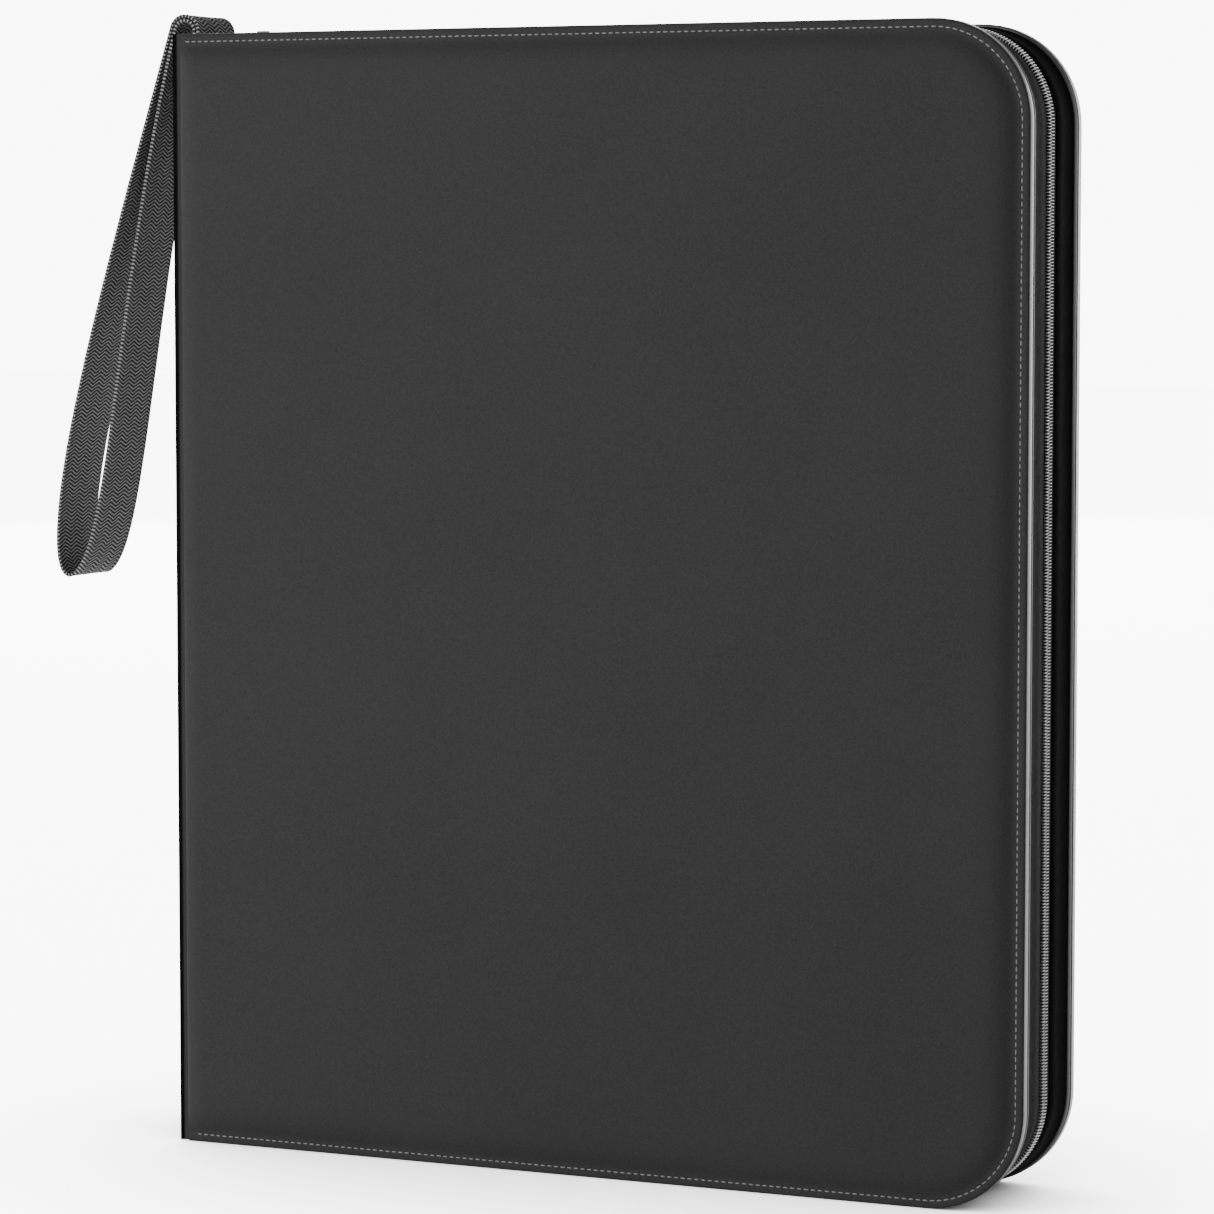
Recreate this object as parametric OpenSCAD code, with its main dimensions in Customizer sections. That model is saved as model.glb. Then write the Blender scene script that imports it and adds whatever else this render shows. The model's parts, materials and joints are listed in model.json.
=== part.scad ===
// Zip-round ring binder for trading cards: two padded covers and a spine joined by leather
// hinges, a zip on a side wall round three edges, a three-ring mechanism, pocket sheets and a
// wrist strap. It stands on its lower edge. X runs from the spine to the fore-edge, Y from the
// front cover to the rear cover, Z up. The origin is at the foot of the spine's outer face, at
// mid-thickness.

/* [Case] */
// Width of a cover, from the spine's outer face to the fore-edge
cover_w = 267; // [240:1:330]
// Height of the case
cover_h = 330; // [285:1:400]
// Thickness of the closed case, over the flat lips of the covers
case_t = 44.7; // [43:0.1:60]
// Radius of the two corners at the fore-edge
corner_r = 28.6; // [12:0.1:45]
// Thickness of the leather skin
skin_t = 0.9; // [0.6:0.1:1.5]
// Thickness of a cover's stiffening board
board_t = 2; // [1.2:0.1:3]
// Thickness of the inner lining
lining_t = 0.7; // [0.4:0.1:1.2]
// Width of the flat sewn lip round a cover
lip_w = 3.6; // [2.5:0.1:8]
// Rise of the padded panel above the lip
pad_h = 2.2; // [1:0.1:4]
// Width of the slope from the lip up to the padded panel
pad_slope = 8; // [4:0.5:14]
// Radius of the rolled leather hinge beside the spine
hinge_r = 3.3; // [3:0.1:5]

/* [Side wall and zip] */
// Diameter of the piping sewn under each cover's edge
piping_d = 1.3; // [0.8:0.1:2.4]
// Thickness of the side wall
wall_t = 1; // [0.6:0.1:1.6]
// Thickness of the zip tape
tape_t = 0.6; // [0.4:0.1:1]
// Thickness of the zip chain, across the tape
chain_t = 2.2; // [1.6:0.1:3]
// Width of the closed zip chain
chain_w = 5.8; // [4:0.1:7]
// Width of the slot between the two side walls
slot_w = 11.6; // [10:0.1:16]
// Lap of the tape under the side wall
tape_lap = 3.7; // [2:0.1:6]
// Gap between the two rows of teeth
chain_gap = 1.6; // [1.4:0.1:2]
// Reach of the spine's end walls from its outer face
end_wall_x = 10.5; // [8:0.5:14]

/* [Zip slider] */
// Length of the slider
slider_l = 12; // [9:0.5:16]
// Width of the slider
slider_w = 9.2; // [8.2:0.1:10]
// Thickness of a slider plate
plate_t = 0.8; // [0.6:0.1:1.2]
// Length of the pull tab, from its pin
pull_l = 25; // [18:0.5:40]
// Width of the pull tab
pull_w = 7.6; // [5:0.1:10]
// Thickness of the pull tab
pull_t = 1.1; // [0.8:0.1:1.5]

/* [Rings] */
// Distance from one ring to the next
ring_pitch = 108; // [60:0.5:125]
// Radius of a ring, to the middle of its wire
ring_r = 14; // [12:0.1:14.4]
// Diameter of the ring wire
wire_d = 2.6; // [2:0.1:3]
// Distance of the ring centres from the spine's outer face
ring_x = 19.2; // [18.9:0.1:22]
// Width of the arched cover plate
arch_w = 25; // [23:0.5:27]
// Height of the arched cover plate
arch_h = 6; // [5.6:0.1:7]
// Thickness of the cover plate
arch_t = 0.9; // [0.6:0.1:1]
// Length of the cover plate beyond the outer rings
arch_over = 30; // [22:1:36]
// Distance of a rivet from the end of the cover plate
rivet_inset = 8; // [6:0.5:9]

/* [Pocket sheets] */
// Pitch of the closed sheets
sheet_pitch = 3.6; // [2:0.1:3.7]
// Thickness of a sheet over its welded ribs
sheet_t = 1.4; // [1.3:0.1:1.8]
// Thickness of the middle film
film_t = 0.3; // [0.2:0.05:0.4]
// Thickness of the punched binding strip
strip_t = 0.6; // [0.4:0.1:1]
// Width of the punched binding strip
strip_w = 24; // [20:0.5:30]
// Width of a welded rib between pockets
rib_w = 3; // [1.5:0.1:5]
// Diameter of the punched holes
hole_d = 8; // [7.9:0.1:9]
// Distance of the holes from the edge of the strip
hole_inset = 8; // [6:0.1:9]
// Gap from the sheets to the top and foot of the case
sheet_gap_z = 22.25; // [8:0.25:26]
// Gap from the sheets to the fore-edge of the case
sheet_gap_x = 12; // [6:0.5:30]
// Thickness of a card
card_t = 0.4; // [0.2:0.05:0.4]
// Play of a card across its pocket
card_play_x = 0.83; // [0.4:0.01:4]
// Play of a card along its pocket
card_play_z = 2.27; // [0.4:0.01:6]

/* [Wrist strap] */
// Width of the webbing
strap_w = 22; // [15:0.5:28]
// Thickness of the webbing
strap_t = 1.25; // [0.8:0.05:1.4]
// Height of the hanging loop
strap_l = 164; // [110:1:220]
// Depth of the sewn tail inside the spine
tail_l = 13; // [8:0.5:25]

/* [Hidden] */
$fn = 96;

past = 1;             // how far a cutting tool runs past what it cuts
sliver = 0.01;        // thickness of the two layers that a rounded panel is drawn between
fit_gap = 0.2;        // running gap between pieces that move past each other
seat_gap = 0.1;       // gap round a piece that is laid into another

// Cover build-up, measured inwards from the lip's outer face
half_t = case_t / 2;
cover_t = skin_t + board_t + lining_t;
inner_y = half_t - cover_t;            // inner face of a lining
cover_x = hinge_r + fit_gap;           // where the covers start, past the hinge
pad_x = cover_x + skin_t;              // where the padded panel starts at the spine
pad_rise_x = 2.6;                      // slope of the padded panel at the spine

// Side wall and zip, as insets from the outline of the case
wall_in = piping_d;
tape_in = wall_in + wall_t;
chain_mid = tape_in + tape_t / 2;
chain_in = chain_mid - chain_t / 2;
tooth_y = chain_gap / 2;
wall_y = slot_w / 2;
tape_y = wall_y + tape_lap;
wall_x = end_wall_x + 0.5;             // where the covers' side walls start
tape_x = wall_x + 1.5;
stop_l = 1.5;                          // length of a zip stop
slider_x = tape_x + 0.5;               // spine end of the parked slider
teeth_top_x = slider_x + slider_l + 1; // the top row starts past the parked slider

// Spine build-up, measured from its outer face
spine_y = half_t - hinge_r;            // half width of the flat of the spine
spine_lining_t = 0.6;
spine_board_t = hinge_r - skin_t - spine_lining_t;
tail_x0 = skin_t + seat_gap;           // outer face of the strap's sewn tail
layer_gap = 0.05;
layer_pitch = strap_t + layer_gap;
tail_x1 = tail_x0 + 2 * strap_t + layer_gap;
notch_x1 = tail_x1 + seat_gap;

// Ring mechanism
ring_z = [for (i = [-1:1]) cover_h / 2 + i * ring_pitch];
arch_half_l = ring_pitch + arch_over;
arch_r = (pow(arch_w / 2, 2) + pow(arch_h, 2)) / (2 * arch_h);
arch_cx = hinge_r + arch_h - arch_r;
blade_t = 0.8;
blade_x = hinge_r + 1.7;               // spine side of the blades
blade_top = blade_x + blade_t;
blade_y = 8;
blade_gap = 0.3;
blade_half_l = arch_half_l - rivet_inset - 8;
ring_gap_deg = 0.7;
ring_foot_deg = acos((blade_top - ring_x) / ring_r) + 8;
rivet_r = 1.8;
rivet_head_r = 3.4;
rivet_head_t = 1.2;
rivet_z = [cover_h / 2 - arch_half_l + rivet_inset, cover_h / 2 + arch_half_l - rivet_inset];

// Pocket sheets
sheets_per_side = 3;
columns = 3;
rows = 3;
hole_r = hole_d / 2;
sheet_x = ring_x + ring_r - hole_inset; // inner edge of a sheet at the middle of the stack
sheet_w = cover_w - sheet_gap_x - sheet_x;
sheet_h = cover_h - 2 * sheet_gap_z;
pocket_pitch_x = (sheet_w - strip_w - rib_w) / columns;
pocket_pitch_z = (sheet_h - rib_w) / rows;
pocket_w = pocket_pitch_x - rib_w;
pocket_h = pocket_pitch_z - rib_w;
card_w = pocket_w - card_play_x;
card_h = pocket_h - card_play_z;
card_r = 3;

// ---------------------------------------------------------------- shared shapes

// Cover outline in the XZ plane: square at the spine, round at the fore-edge
module leaf(inset = 0, x0 = 0) {
  r = max(corner_r - inset, 0.5);
  x1 = cover_w - inset;
  translate([x0, inset]) square([x1 - r - x0, cover_h - 2 * inset]);
  translate([x0, inset + r]) square([x1 - x0, cover_h - 2 * (inset + r)]);
  for (z = [inset + r, cover_h - inset - r]) translate([x1 - r, z]) circle(r);
}

// Band between two insets of the outline, open at the spine
module leaf_band(outer_in, inner_in, x0) {
  difference() {
    leaf(outer_in, x0);
    leaf(inner_in, x0 - past);
  }
}

// Raises an XZ outline into a slab between two Y values
module slab(y0, y1) {
  translate([0, y1, 0]) rotate([90, 0, 0]) linear_extrude(y1 - y0) children();
}

// Box given by its two opposite corners
module box(a, b) {
  translate(a) cube(b - a);
}

// The front half's shapes serve the rear half when mirrored
module rear() {
  mirror([0, 1, 0]) children();
}

// ---------------------------------------------------------------- covers

// Padded panel's form above the lip, shrunk by "inside" for the foam under the skin
module pad_form(inside = 0) {
  hull() {
    slab(-half_t, -half_t + sliver) leaf(lip_w + inside, pad_x + inside);
    slab(-half_t - pad_h + inside, -half_t - pad_h + inside + sliver)
      leaf(lip_w + pad_slope, pad_x + pad_rise_x);
  }
}

module cover_skin() {
  color("dimgray") difference() {
    union() {
      slab(-half_t, -inner_y) leaf(0, cover_x);
      pad_form($fn = 48);
    }
    slab(-half_t + skin_t, -inner_y + past) leaf(skin_t, cover_x - past);
    slab(-half_t - sliver, -half_t + skin_t + sliver) leaf(lip_w + skin_t, pad_x + skin_t);
    pad_form(skin_t, $fn = 48);
  }
}

module cover_pad() {
  color("gray") union() {
    pad_form(skin_t, $fn = 48);
    slab(-half_t, -half_t + skin_t) leaf(lip_w + skin_t, pad_x + skin_t);
  }
}

module cover_board() {
  color("tan") slab(-half_t + skin_t, -half_t + skin_t + board_t) leaf(skin_t + seat_gap, cover_x);
}

module cover_lining() {
  color("black") slab(-inner_y - lining_t, -inner_y) leaf(skin_t + seat_gap, cover_x);
}

// Piping: a cord that follows the outline just under the cover's edge
module cover_piping() {
  in = piping_d / 2;
  r = max(corner_r - in, 1);
  x1 = cover_w - in;
  color("darkgray") translate([0, -inner_y + in, 0]) {
    for (z = [in, cover_h - in])
      translate([wall_x, 0, z]) rotate([0, 90, 0]) cylinder(h = x1 - r - wall_x, d = piping_d, $fn = 24);
    translate([x1, 0, in + r]) cylinder(h = cover_h - 2 * (in + r), d = piping_d, $fn = 24);
    for (top = [0, 1])
      translate([x1 - r, 0, top ? cover_h - in - r : in + r])
        rotate([90, 0, 0]) rotate([0, 0, top ? 0 : -90])
          rotate_extrude(angle = 90) translate([r, 0]) circle(d = piping_d, $fn = 24);
  }
}

module side_wall() {
  color("dimgray") slab(-inner_y, -wall_y) leaf_band(wall_in, tape_in, wall_x);
}

module zip_tape() {
  color("black") slab(-tape_y, -chain_w / 2) leaf_band(tape_in, tape_in + tape_t, tape_x);
}

// One row of the chain; its top run starts past the parked slider
module zip_teeth() {
  color("silver") difference() {
    slab(-chain_w / 2, -tooth_y) leaf_band(chain_in, chain_in + chain_t, tape_x);
    box([0, -chain_w, cover_h / 2], [teeth_top_x, 0, cover_h + past]);
  }
}

// ---------------------------------------------------------------- spine

// Rolled leather strip from the spine's outer face round to the front cover's outer face
module hinge_strip() {
  color("dimgray") translate([hinge_r, -spine_y, 0]) intersection() {
    difference() {
      cylinder(h = cover_h, r = hinge_r);
      translate([0, 0, -past]) cylinder(h = cover_h + 2 * past, r = hinge_r - skin_t);
    }
    box([-hinge_r, -hinge_r, 0], [0, 0, cover_h]);
  }
}

module spine_skin() {
  color("dimgray") box([0, -spine_y, 0], [skin_t, spine_y, cover_h]);
}

// Notch for the strap's tail at the top, and the two rivet holes
module spine_cuts(x0, x1) {
  box([x0, -strap_w / 2 - seat_gap, cover_h - tail_l - seat_gap],
      [x1, strap_w / 2 + seat_gap, cover_h + past]);
  for (z = rivet_z)
    translate([x0, 0, z]) rotate([0, 90, 0]) cylinder(h = x1 - x0, r = rivet_r + seat_gap);
}

module spine_board() {
  color("tan") difference() {
    box([skin_t, -spine_y, 0], [skin_t + spine_board_t, spine_y, cover_h]);
    spine_cuts(skin_t - past, hinge_r + past);
  }
}

module spine_lining() {
  color("black") difference() {
    box([hinge_r - spine_lining_t, -spine_y, 0], [hinge_r, spine_y, cover_h]);
    spine_cuts(hinge_r - spine_lining_t - past, hinge_r + past);
  }
}

// Short wall that closes the case at one end of the spine
module spine_end_wall() {
  x0 = max(hinge_r, notch_x1) + seat_gap;
  color("dimgray") box([x0, -inner_y + fit_gap, wall_in],
                       [end_wall_x, inner_y - fit_gap, tape_in + tape_t]);
}

// Metal stop that the slider runs against, clamped to the edge of the end wall
module zip_stop() {
  color("silver") box([end_wall_x, -chain_w / 2 + fit_gap, chain_in],
                      [end_wall_x + stop_l, chain_w / 2 - fit_gap, chain_in + chain_t]);
}

module at_top() {
  translate([0, 0, cover_h]) mirror([0, 0, 1]) children();
}

// ---------------------------------------------------------------- ring mechanism

module ring_cover_plate() {
  slot_y0 = 4;
  slot_y1 = 10.8;
  slot_z = wire_d / 2 + 0.6;
  color("dimgray") difference() {
    intersection() {
      translate([arch_cx, 0, cover_h / 2 - arch_half_l]) difference() {
        cylinder(h = 2 * arch_half_l, r = arch_r);
        translate([0, 0, -past]) cylinder(h = 2 * (arch_half_l + past), r = arch_r - arch_t);
      }
      box([hinge_r, -arch_w, 0], [hinge_r + 2 * arch_h, arch_w, cover_h]);
    }
    for (z = ring_z, s = [-1, 1])
      box([hinge_r + arch_t, min(s * slot_y0, s * slot_y1), z - slot_z],
          [hinge_r + 2 * arch_h, max(s * slot_y0, s * slot_y1), z + slot_z]);
    for (z = rivet_z)
      translate([hinge_r, 0, z]) rotate([0, 90, 0]) cylinder(h = 2 * arch_h, r = rivet_r + seat_gap);
  }
}

module ring_rivets() {
  head_x = hinge_r + arch_h + 0.5;
  color("silver") for (z = rivet_z) translate([skin_t, 0, z]) rotate([0, 90, 0]) {
    cylinder(h = head_x - skin_t, r = rivet_r);
    translate([0, 0, head_x - skin_t - 0.1]) cylinder(h = rivet_head_t, r = rivet_head_r);
  }
}

// Front carrier blade inside the cover plate; it turns about the line where the blades meet
module blade() {
  color("silver") box([blade_x, -blade_y, cover_h / 2 - blade_half_l],
                      [blade_top, -blade_gap, cover_h / 2 + blade_half_l]);
}

// Three front half rings, cut off flush on the blade
module half_rings() {
  color("silver") intersection() {
    for (z = ring_z)
      translate([ring_x, 0, z]) rotate([0, 0, -ring_foot_deg])
        rotate_extrude(angle = ring_foot_deg - ring_gap_deg) translate([ring_r, 0]) circle(d = wire_d, $fn = 32);
    box([blade_top, -2 * ring_r, 0], [ring_x + 2 * ring_r, 0, cover_h]);
  }
}

// ---------------------------------------------------------------- pocket sheets

// Middle of sheet i across the case, and how far the ring's curve draws it towards the spine
function sheet_y(i) = (i - sheets_per_side - 0.5) * sheet_pitch;
function sheet_dx(i) = sqrt(pow(ring_r, 2) - pow(sheet_y(i), 2)) - ring_r;
function pocket_x(c) = sheet_x + strip_w + rib_w + c * pocket_pitch_x;
function pocket_z(r) = sheet_gap_z + rib_w + r * pocket_pitch_z;

module pocket_sheet(i) {
  color("gainsboro") translate([sheet_dx(i), sheet_y(i), 0]) difference() {
    union() {
      box([sheet_x, -strip_t / 2, sheet_gap_z], [sheet_x + strip_w + past, strip_t / 2, sheet_gap_z + sheet_h]);
      box([sheet_x + strip_w, -sheet_t / 2, sheet_gap_z], [sheet_x + sheet_w, sheet_t / 2, sheet_gap_z + sheet_h]);
    }
    for (c = [0:columns - 1], r = [0:rows - 1], s = [-1, 1])
      translate([pocket_x(c), s > 0 ? film_t / 2 : -film_t / 2 - sheet_t, pocket_z(r)])
        cube([pocket_w, sheet_t, pocket_h]);
    for (z = ring_z)
      translate([sheet_x + hole_inset, 0, z]) rotate([90, 0, 0])
        cylinder(h = 2 * strip_t, r = hole_r, center = true);
  }
}

// One card face on, with rounded corners
module card() {
  rotate([90, 0, 0]) linear_extrude(card_t) {
    translate([card_r, 0]) square([card_w - 2 * card_r, card_h]);
    translate([0, card_r]) square([card_w, card_h - 2 * card_r]);
    for (x = [card_r, card_w - card_r], z = [card_r, card_h - card_r]) translate([x, z]) circle(card_r, $fn = 32);
  }
}

// Two cards in each pocket, back to back on the middle film
module sheet_cards(i) {
  off_film = film_t / 2 + 0.05;
  color("darkgreen") translate([sheet_dx(i), sheet_y(i), 0])
    for (c = [0:columns - 1], r = [0:rows - 1], s = [-1, 1])
      translate([pocket_x(c) + card_play_x / 2, s > 0 ? off_film + card_t : -off_film,
                 pocket_z(r) + card_play_z / 2])
        card();
}

// ---------------------------------------------------------------- slider and pull

slider_top = cover_h - chain_in + fit_gap;      // underside of the upper plate
slider_foot = cover_h - chain_in - chain_t - fit_gap;
slider_end = slider_x + slider_l;
slot_top = cover_h - tape_in + fit_gap;         // slot for the tape in each flange
slot_foot = cover_h - tape_in - tape_t - fit_gap;
flange_y = chain_w / 2 + fit_gap;
pin_r = 0.55;
pin_x = slider_x + slider_l / 2;
pin_z = slider_top + plate_t + 0.25 + pin_r;
bail_y = 1;
bail_half_l = 1.7;
bail_wall = 0.45;
arm_y0 = bail_y + fit_gap;
arm_y1 = arm_y0 + 1.2;
arm_l = 4.4;

// Plan outline of a slider plate: full width at the nose, narrower at the tail
module slider_plan() {
  taper = 1;
  polygon([[slider_x, -slider_w / 2], [slider_x + slider_l / 3, -slider_w / 2],
           [slider_end, -slider_w / 2 + taper], [slider_end, slider_w / 2 - taper],
           [slider_x + slider_l / 3, slider_w / 2], [slider_x, slider_w / 2]]);
}

module zip_slider() {
  post_l = 2.5;
  post_y = tooth_y - 0.15;
  color("gray") difference() {
    union() {
      translate([0, 0, slider_foot - plate_t]) linear_extrude(slider_top - slider_foot + 2 * plate_t) slider_plan();
      box([pin_x - bail_half_l, -bail_y, slider_top], [pin_x + bail_half_l, bail_y, pin_z + pin_r + fit_gap + bail_wall]);
    }
    for (s = [-1, 1])
      box([slider_x - past, s > 0 ? post_y : -flange_y, slider_foot],
          [slider_end + past, s > 0 ? flange_y : -post_y, slider_top]);
    box([slider_x + post_l, -flange_y, slider_foot], [slider_end + past, flange_y, slider_top]);
    for (s = [-1, 1])
      box([slider_x - past, s > 0 ? post_y : -slider_w, slot_foot],
          [slider_end + past, s > 0 ? slider_w : -post_y, slot_top]);
    translate([pin_x, 0, pin_z]) rotate([90, 0, 0])
      cylinder(h = 4 * bail_y, r = pin_r + fit_gap, center = true, $fn = 32);
  }
}

// Pull: a pin through the slider's bail, two arms and a tab with a round end
module zip_pull() {
  color("darkslategray") {
    translate([pin_x, 0, pin_z]) rotate([90, 0, 0]) cylinder(h = 2 * arm_y1, r = pin_r, center = true, $fn = 32);
    for (s = [-1, 1])
      box([pin_x, s > 0 ? arm_y0 : -arm_y1, pin_z - pull_t / 2],
          [pin_x + arm_l, s > 0 ? arm_y1 : -arm_y0, pin_z + pull_t / 2]);
    translate([pin_x, 0, pin_z - pull_t / 2]) linear_extrude(pull_t) {
      polygon([[arm_l - 1, -arm_y1], [arm_l - 1, arm_y1], [arm_l + 2, pull_w / 2],
               [pull_l - pull_w / 2, pull_w / 2], [pull_l - pull_w / 2, -pull_w / 2], [arm_l + 2, -pull_w / 2]]);
      translate([pull_l - pull_w / 2, 0]) circle(d = pull_w);
    }
  }
}

// ---------------------------------------------------------------- wrist strap

// The webbing leaves the spine's top, rolls over its edge and hangs outside as a loop. Its
// centreline is one path in the XZ plane: out as the outer layer, round, and back as the inner.
swing_x = (tail_x0 + tail_x1) / 2;           // line about which the loop swings
swing_z = cover_h + 0.35;
swing_gap = 0.55;                            // room for the swing at each side of that line
lift = 1.3;                                  // height of the roll's centre above the spine
roll_x = -1.7;
roll_z = cover_h + lift;
roll_end = 165;                              // angle at which the layers leave the roll
outer_x = swing_x + layer_pitch / 2;
inner_x = swing_x - layer_pitch / 2;
loop_foot = cover_h - strap_l;

function lerp(a, b, t) = a + (b - a) * t;
function bezier(p, t) = pow(1 - t, 3) * p[0] + 3 * pow(1 - t, 2) * t * p[1]
                      + 3 * (1 - t) * t * t * p[2] + pow(t, 3) * p[3];
function curve(p, n) = [for (i = [1:n]) bezier(p, i / n)];
function roll(r, a) = [roll_x + r * cos(a), roll_z + r * sin(a)];

outer_r = outer_x - roll_x;
inner_r = inner_x - roll_x;
outer_end = roll(outer_r, roll_end);
inner_end = roll(inner_r, roll_end);
turn_l = [-46.9, loop_foot + 12];            // where the outer layer starts its turn
turn_r = [-36.3, loop_foot + 10];            // where the inner layer leaves it
drop = strap_l / 164;                        // stretches the curves with the loop

strap_path = concat(
  [[outer_x, swing_z + swing_gap]],
  [for (a = [0:15:roll_end]) roll(outer_r, a)],
  curve([outer_end, outer_end + 60 * drop * [-0.302, -0.953], turn_l + [0, 30 * drop], turn_l], 14),
  curve([turn_l, turn_l - [0, 13.5], turn_r + [-4.5, -11.5], turn_r], 10),
  curve([turn_r, turn_r + 25 * drop * [0.36, 0.93], inner_end - 70 * drop * [0.259, 0.966], inner_end], 14),
  [for (a = [roll_end - 15:-15:0]) roll(inner_r, a)],
  [[inner_x, swing_z + swing_gap]]
);

function unit(v) = v / norm(v);
function side(path, i) = let (
    a = path[max(i - 1, 0)],
    b = path[min(i + 1, len(path) - 1)],
    d = unit(b - a)
  ) [-d[1], d[0]];
function ribbon(path, t) = concat(
  [for (i = [0:len(path) - 1]) path[i] + side(path, i) * t / 2],
  [for (i = [len(path) - 1:-1:0]) path[i] - side(path, i) * t / 2]
);

module strap_loop() {
  color("dimgray") slab(-strap_w / 2, strap_w / 2) polygon(ribbon(strap_path, strap_t));
}

// Sewn tail of the strap, in its notch between the spine's skin and lining
module strap_root() {
  reach = norm([strap_t + layer_gap / 2, swing_gap]);
  color("dimgray") box([tail_x0, -strap_w / 2, cover_h - tail_l],
                       [tail_x1, strap_w / 2, swing_z - reach - seat_gap]);
}

// ---------------------------------------------------------------- assembly

spine_skin();
spine_board();
spine_lining();
hinge_strip();  // front_hinge
rear() hinge_strip();  // rear_hinge
at_top() spine_end_wall();  // spine_end_wall_top
spine_end_wall();  // spine_end_wall_foot
at_top() zip_stop();  // zip_stop_top
zip_stop();  // zip_stop_foot
ring_cover_plate();
ring_rivets();
strap_root();
strap_loop();
cover_skin();  // front_skin
cover_pad();  // front_pad
cover_board();  // front_board
cover_lining();  // front_lining
cover_piping();  // front_piping
side_wall();  // front_side_wall
zip_tape();  // front_zip_tape
zip_teeth();  // front_zip_teeth
rear() cover_skin();  // rear_skin
rear() cover_pad();  // rear_pad
rear() cover_board();  // rear_board
rear() cover_lining();  // rear_lining
rear() cover_piping();  // rear_piping
rear() side_wall();  // rear_side_wall
rear() zip_tape();  // rear_zip_tape
rear() zip_teeth();  // rear_zip_teeth
blade();  // front_blade
half_rings();  // front_half_rings
rear() blade();  // rear_blade
rear() half_rings();  // rear_half_rings
zip_slider();
zip_pull();
for (i = [1:2 * sheets_per_side]) {
  pocket_sheet(i);
  sheet_cards(i);
}
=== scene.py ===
import json
import math

import bpy
from mathutils import Matrix, Vector

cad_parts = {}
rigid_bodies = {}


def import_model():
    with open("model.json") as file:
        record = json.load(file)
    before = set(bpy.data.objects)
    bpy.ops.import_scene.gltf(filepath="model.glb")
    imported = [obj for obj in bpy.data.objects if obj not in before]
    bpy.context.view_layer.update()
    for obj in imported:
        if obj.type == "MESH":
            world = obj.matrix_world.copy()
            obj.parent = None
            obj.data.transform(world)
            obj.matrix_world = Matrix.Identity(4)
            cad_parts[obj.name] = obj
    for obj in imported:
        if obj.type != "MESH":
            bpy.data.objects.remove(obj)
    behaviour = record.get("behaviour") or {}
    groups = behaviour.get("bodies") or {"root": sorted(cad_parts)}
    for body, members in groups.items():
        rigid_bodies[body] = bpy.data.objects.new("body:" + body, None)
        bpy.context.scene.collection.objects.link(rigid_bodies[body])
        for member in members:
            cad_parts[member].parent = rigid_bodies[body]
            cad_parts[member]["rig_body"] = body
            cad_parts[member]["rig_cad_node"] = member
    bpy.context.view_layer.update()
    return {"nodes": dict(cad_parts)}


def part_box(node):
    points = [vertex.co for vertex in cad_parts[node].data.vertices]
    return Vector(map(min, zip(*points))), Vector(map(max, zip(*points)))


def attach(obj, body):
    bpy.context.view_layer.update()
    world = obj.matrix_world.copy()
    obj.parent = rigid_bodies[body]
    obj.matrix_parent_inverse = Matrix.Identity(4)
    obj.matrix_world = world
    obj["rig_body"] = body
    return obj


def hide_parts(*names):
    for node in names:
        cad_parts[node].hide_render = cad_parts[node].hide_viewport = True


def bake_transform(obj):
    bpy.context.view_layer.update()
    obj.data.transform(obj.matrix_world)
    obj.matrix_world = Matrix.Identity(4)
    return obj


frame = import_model()
bpy.ops.object.select_all(action="DESELECT")


# ---------------------------------------------------------------------------------------------
# Boards. Pressed black-core boards stiffen the covers, each with a sheet of foam glued on it.
# Leather closes them in. The spine's board is dressed with the spine, and the foam with the
# covers, because the leather over it takes its shape.

MM = 0.001


class Shade:
    """A shader socket that can be used in sums, or a bare node tree."""

    def __init__(self, tree, socket=None):
        self.tree = tree
        self.socket = socket

    def node(self, kind, settings=None, inputs=None, out=0):
        made = self.tree.nodes.new(kind)
        for name, value in (settings or {}).items():
            setattr(made, name, value)
        for name, value in (inputs or {}).items():
            if isinstance(value, Shade):
                self.tree.links.new(value.socket, made.inputs[name])
            else:
                made.inputs[name].default_value = value
        return Shade(self.tree, made.outputs[out])

    def sum(self, operation, *values):
        return self.node("ShaderNodeMath", {"operation": operation}, dict(enumerate(values)))

    def __add__(self, other): return self.sum("ADD", self, other)
    def __radd__(self, other): return self.sum("ADD", other, self)
    def __sub__(self, other): return self.sum("SUBTRACT", self, other)
    def __rsub__(self, other): return self.sum("SUBTRACT", other, self)
    def __mul__(self, other): return self.sum("MULTIPLY", self, other)
    def __rmul__(self, other): return self.sum("MULTIPLY", other, self)
    def __truediv__(self, other): return self.sum("DIVIDE", self, other)
    def __lt__(self, other): return self.sum("LESS_THAN", self, other)
    def __gt__(self, other): return self.sum("GREATER_THAN", self, other)

    def waves(self):
        return self.sum("SINE", self)

    def along(self, axis):
        return self.node("ShaderNodeSeparateXYZ", {}, {0: self}, out="XYZ".index(axis))

    def noise(self, size, detail=2, rough=0.5):
        """Cloudy noise, 0 to 1, whose blobs are about this size in millimetres."""
        return self.node("ShaderNodeTexNoise", {}, {
            "Vector": self, "Scale": 1 / (size * MM), "Detail": detail, "Roughness": rough})

    def cells(self, size, feature="F1"):
        return self.node("ShaderNodeTexVoronoi", {"feature": feature}, {
            "Vector": self, "Scale": 1 / (size * MM)})

    def between(self, low, high):
        """This value, from 0 to 1, turned into a blend of two numbers or two colours."""
        if isinstance(low, (int, float)):
            return self * (high - low) + low
        mix = {"data_type": "RGBA"}
        return self.node("ShaderNodeMix", mix, {"Factor": self, 6: low, 7: high}, out=2)


def finish(name, **plain):
    """A new material: its shading node, its object coordinates, and the sockets set here."""
    made = bpy.data.materials.new(name)
    made.use_nodes = True
    shader = made.node_tree.nodes["Principled BSDF"]
    for socket, value in plain.items():
        shader.inputs[socket.replace("_", " ")].default_value = value
    place = Shade(made.node_tree).node("ShaderNodeTexCoord", out=3)
    return made, shader, place


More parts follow.
